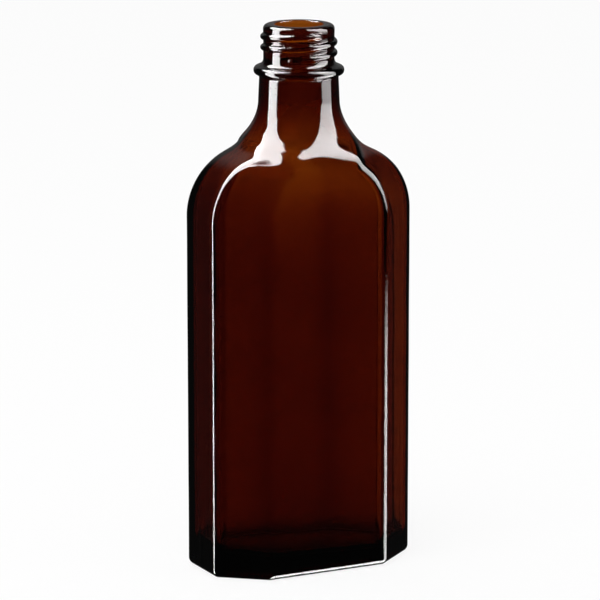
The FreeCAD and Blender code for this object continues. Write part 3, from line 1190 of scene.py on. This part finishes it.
@dataclass(frozen=True)
class Softbox:
    """Curved white diffuser of the light tent, which shows in the gloss of the glass.

    The outline gives, from the lowest row to the highest, an angle above the floor, the
    headings of the two edges there and the share of the glow. Headings go from +X towards
    +Y. All angles are degrees as the bottle sees them.
    """

    name: str
    outline: tuple[tuple[float, float, float, float], ...]
    glow: float
    feather: float = 4.0
    # Distance and height, in metres, of the point that all angles are seen from.
    reach: float = 3.0
    middle_height: float = 0.09
    points_across: int = 65
    unseen_by: tuple[str, ...] = ("camera", "diffuse", "transmission", "shadow", "volume_scatter")

    def make_mesh(self) -> Mesh:
        """Bend the diffuser round the bottle and store how its glow fades at the rim.

        Returns:
            Mesh with the attribute FADE.
        """
        count = self.points_across
        rows, starts, ends, shares = (np.array(column) for column in zip(*self.outline))
        rise = np.linspace(rows[0], rows[-1], count)[:, None]
        start, end = np.interp(rise, rows, starts), np.interp(rise, rows, ends)
        turn = start + (end - start) * np.linspace(0.0, 1.0, count)
        angle, lift = np.radians(turn), np.radians(rise) + 0.0 * turn
        points = self.reach * polar(np.cos(lift), angle, np.sin(lift))
        points[..., 2] += self.middle_height
        rim = np.minimum(np.minimum(turn - start, end - turn),
                         np.minimum(rise - rows[0], rows[-1] - rise))
        fade = ease(rim, 0.0, self.feather) * np.interp(rise, rows, shares)
        faces = [(r * count + c, r * count + c + 1, (r + 1) * count + c + 1, (r + 1) * count + c)
                 for r in range(count - 1) for c in range(count - 1)]
        mesh = bpy.data.meshes.new(self.name)
        mesh.from_pydata(points.reshape(-1, 3).tolist(), [], faces)
        held = mesh.attributes.new(FADE, "FLOAT", "POINT")
        held.data.foreach_set("value", fade.ravel())
        return mesh

    def build(self) -> Object:
        """Hang the diffuser. It lights nothing but the reflections.

        Returns:
            The diffuser.
        """
        diffuser = add_object(self.name, self.make_mesh())
        diffuser.data.materials.append(LitSilk(self.glow).make())
        for ray in self.unseen_by:
            setattr(diffuser, "visible_" + ray, False)
        return diffuser


@dataclass
class Studio:
    """White floor and surroundings, plain light from above, and the diffusers of the tent."""

    floor_half: float = 3.0
    # Strength of the surroundings for the floor's light, and in the gloss of the glass.
    room_light: float = 0.8
    room_gloss: float = 0.018
    lamp_width: float = 0.8
    lamp_watts: float = 7.0
    lamp_place: tuple[float, float, float] = (-0.5, -0.3, 1.3)
    lamp_aim: tuple[float, float, float] = (0.0, 0.0, 0.05)
    diffusers: tuple[Softbox, ...] = (
        Softbox("left_softbox", (
            (-50.0, 147.0, 180.0, 1.0), (28.0, 147.0, 180.0, 1.0), (38.0, 93.0, 176.5, 1.0),
            (46.0, 89.0, 177.0, 1.0), (56.0, 89.0, 180.0, 1.0), (68.0, 89.0, 183.0, 1.0),
            (78.0, 95.0, 185.0, 1.0)), 16.5),
        Softbox("right_softbox", (
            (-8.9, 315.0, 349.0, 0.3), (-5.5, 314.0, 349.0, 0.4), (-3.5, 309.0, 349.0, 0.45),
            (-1.0, 308.0, 349.0, 0.62),
            (10.0, 305.5, 349.0, 0.7), (24.0, 303.0, 349.0, 0.75), (38.0, 298.0, 348.0, 0.9),
            (48.0, 293.0, 352.0, 1.0), (60.0, 292.0, 352.0, 1.0), (78.0, 293.0, 352.0, 1.0)),
            14.0, 3.0),
        Softbox("right_paper", (
            (-84.0, 307.0, 357.0, 1.0), (-45.0, 307.0, 357.0, 1.0), (-30.0, 307.0, 357.0, 0.6),
            (-12.0, 307.0, 357.0, 0.55)), 17.0, 2.0),
        Softbox("rear_wall", ((-5.0, 25.0, 100.0, 1.0), (42.0, 25.0, 100.0, 1.0)), 0.15, 12.0),
    )

    def make_floor(self) -> Object:
        """Lay the pale floor.

        Returns:
            The floor.
        """
        half = self.floor_half
        mesh = bpy.data.meshes.new("studio_floor")
        mesh.from_pydata([(-half, -half, 0), (half, -half, 0), (half, half, 0), (-half, half, 0)],
                         [], [(0, 1, 2, 3)])
        mesh.materials.append(MattPaper().make())
        floor = add_object("studio_floor", mesh)
        floor.visible_glossy = False
        return floor

    def make_world(self) -> None:
        """Surround the bottle with white for the eye and plain light for the floor."""
        world = bpy.data.worlds.new("studio")
        world.use_nodes = True
        bpy.context.scene.world = world
        tree = world.node_tree
        tree.nodes.clear()
        room, gloss, white = (
            add_node(tree, "ShaderNodeBackground", {"Color": WHITE, "Strength": strength}).outputs[0]
            for strength in (self.room_light, self.room_gloss, 1.0))
        mixed = room
        for ray, seen in (Ray.GLOSSY, gloss), (Ray.TRANSMISSION, white), (Ray.CAMERA, white):
            mixed = add_node(tree, "ShaderNodeMixShader", links={
                0: seen_by(tree, ray), 1: mixed, 2: seen}).outputs[0]
        add_node(tree, "ShaderNodeOutputWorld", links={"Surface": mixed})

    def make_lamp(self) -> Object:
        """Hang the soft lamp that gives the floor its shadow.

        Returns:
            The lamp.
        """
        light = bpy.data.lights.new("overhead_lamp", "AREA")
        light.shape = "DISK"
        light.size = self.lamp_width
        light.energy = self.lamp_watts
        lamp = add_object("overhead_lamp", light)
        lamp.location = self.lamp_place
        aim = Vector(self.lamp_aim) - lamp.location
        lamp.rotation_euler = aim.to_track_quat("-Z", "Y").to_euler()
        lamp.visible_camera = False
        lamp.visible_glossy = False
        return lamp

    def build(self) -> list[Object]:
        """Make the surroundings, the floor, the lamp and the diffusers."""
        self.make_world()
        return [self.make_floor(), self.make_lamp(),
                *(diffuser.build() for diffuser in self.diffusers)]


@dataclass(frozen=True)
class PhotoCamera:
    """Camera that stands where the photograph was taken.

    Angles are in degrees and places in metres. The focal length and the sensor are in
    millimetres.
    """

    turn: float = 26.94
    dip: float = 12.29
    distance: float = 1.0664
    focal_length: float = 226.2
    sensor: float = 36.0
    aim_height: float = 0.08015
    aim_right: float = 0.00032
    aim_up: float = -0.00436

    def build(self) -> Object:
        """Make the camera and give it to the scene.

        Returns:
            The camera.
        """
        turn, dip = math.radians(self.turn), math.radians(self.dip)
        ahead = Vector((math.sin(turn) * math.cos(dip), math.cos(turn) * math.cos(dip),
                        -math.sin(dip)))
        right = Vector((math.cos(turn), -math.sin(turn), 0.0))
        up = right.cross(ahead)
        aim = Vector((0, 0, self.aim_height)) + right * self.aim_right + up * self.aim_up
        data = bpy.data.cameras.new("photo_camera")
        data.sensor_width = self.sensor
        data.lens = self.focal_length
        camera = add_object("photo_camera", data)
        axes = Matrix((right, up, -ahead)).transposed()
        camera.matrix_world = Matrix.Translation(aim - ahead * self.distance) @ axes.to_4x4()
        bpy.context.scene.camera = camera
        return camera


def main() -> None:
    """Build the glass, the studio and the camera."""
    low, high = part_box(NODE)
    width, depth, height = ((high[i] - low[i]) / MM for i in range(3))
    for thing in (Bottle(width, depth, height).build(), *Studio().build(), PhotoCamera().build()):
        log.info("%s: %s", thing.name, thing.type.lower())
    bpy.context.scene.view_settings.view_transform = "Standard"


if __name__ == "__main__":
    main()
